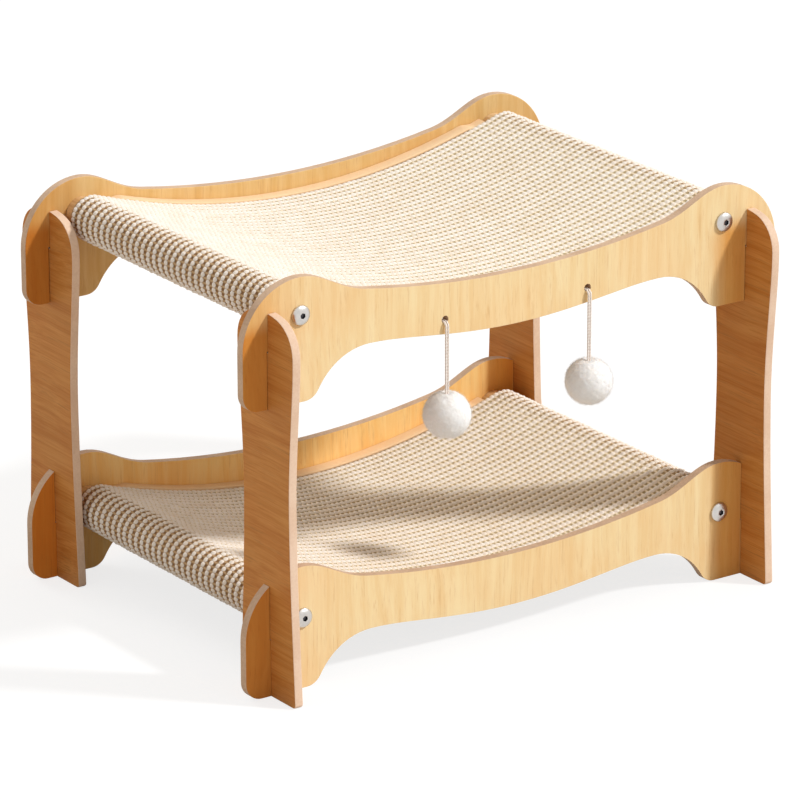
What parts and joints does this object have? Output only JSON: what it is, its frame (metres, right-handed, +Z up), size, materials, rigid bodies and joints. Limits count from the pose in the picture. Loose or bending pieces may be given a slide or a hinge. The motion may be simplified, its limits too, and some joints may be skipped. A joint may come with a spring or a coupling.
{
  "type": "two-tier cat scratcher bed",
  "caption": "Two-tier cat bed: woven sisal mats slung between rods in a slotted wooden frame, with ball toys hanging on strings from the upper front board.",
  "frame": {"origin": "middle of the bed on the floor that its feet stand on", "axes": "+X along the bed towards its right end, +Y across it from the front to the back, +Z up; the toys hang at the front, at -Y"},
  "size_m": [0.5064, 0.3868, 0.3318],
  "materials": {
    "front_boards": "light maple veneer, satin",
    "back_boards": "light maple veneer, satin",
    "legs": "light maple veneer, satin",
    "rods": "bare turned pine",
    "backing": "plain canvas",
    "sisal": "coarse woven yarn",
    "edge_strips": "smooth edge tape",
    "bolts": "bright plated",
    "inserts": "zinc plated",
    "balls": "felted plush",
    "strings": "soft twisted string"
  },
  "bodies": {
    "bed": {"lower_front_board": "front_boards", "lower_back_board": "back_boards", "upper_front_board": "front_boards", "upper_back_board": "back_boards", "front_left_leg": "legs", "front_right_leg": "legs", "back_left_leg": "legs", "back_right_leg": "legs", "lower_left_rod": "rods", "lower_right_rod": "rods", "upper_left_rod": "rods", "upper_right_rod": "rods", "lower_mat_backing": "backing", "lower_mat_sisal": "sisal", "lower_mat_edge_front": "edge_strips", "lower_mat_edge_back": "edge_strips", "upper_mat_backing": "backing", "upper_mat_sisal": "sisal", "upper_mat_edge_front": "edge_strips", "upper_mat_edge_back": "edge_strips", "lower_front_left_bolt": "bolts", "lower_front_right_bolt": "bolts", "lower_back_left_bolt": "bolts", "lower_back_right_bolt": "bolts", "upper_front_left_bolt": "bolts", "upper_front_right_bolt": "bolts", "upper_back_left_bolt": "bolts", "upper_back_right_bolt": "bolts", "lower_front_left_insert": "inserts", "lower_front_right_insert": "inserts", "lower_back_left_insert": "inserts", "lower_back_right_insert": "inserts", "upper_front_left_insert": "inserts", "upper_front_right_insert": "inserts", "upper_back_left_insert": "inserts", "upper_back_right_insert": "inserts"},
    "left_toy_top": {"left_toy_stopper_knot": "strings", "left_toy_neck_left": "strings", "left_toy_neck_right": "strings"},
    "left_toy_pendulum": {"left_toy_strand_left": "strings", "left_toy_strand_right": "strings", "left_toy_ball_knot": "strings", "left_toy_ball": "balls"},
    "right_toy_top": {"right_toy_stopper_knot": "strings", "right_toy_neck_left": "strings", "right_toy_neck_right": "strings"},
    "right_toy_pendulum": {"right_toy_strand_left": "strings", "right_toy_strand_right": "strings", "right_toy_ball_knot": "strings", "right_toy_ball": "balls"}
  },
  "joints": [
    {"name": "left_toy_sway", "type": "hinge", "parent": "bed", "child": "left_toy_top", "pos_m": [-0.06785, -0.15575, 0.2723], "axis": [0, 1, 0], "range_deg": [-38, 60]},
    {"name": "left_toy_swing", "type": "hinge", "parent": "left_toy_top", "child": "left_toy_pendulum", "pos_m": [-0.06785, -0.1622, 0.26712], "axis": [-1, 0, 0], "range_deg": [0, 70]},
    {"name": "right_toy_sway", "type": "hinge", "parent": "bed", "child": "right_toy_top", "pos_m": [0.06785, -0.15575, 0.2723], "axis": [0, 1, 0], "range_deg": [-60, 38]},
    {"name": "right_toy_swing", "type": "hinge", "parent": "right_toy_top", "child": "right_toy_pendulum", "pos_m": [0.06785, -0.1622, 0.26712], "axis": [-1, 0, 0], "range_deg": [0, 70]}
  ]
}
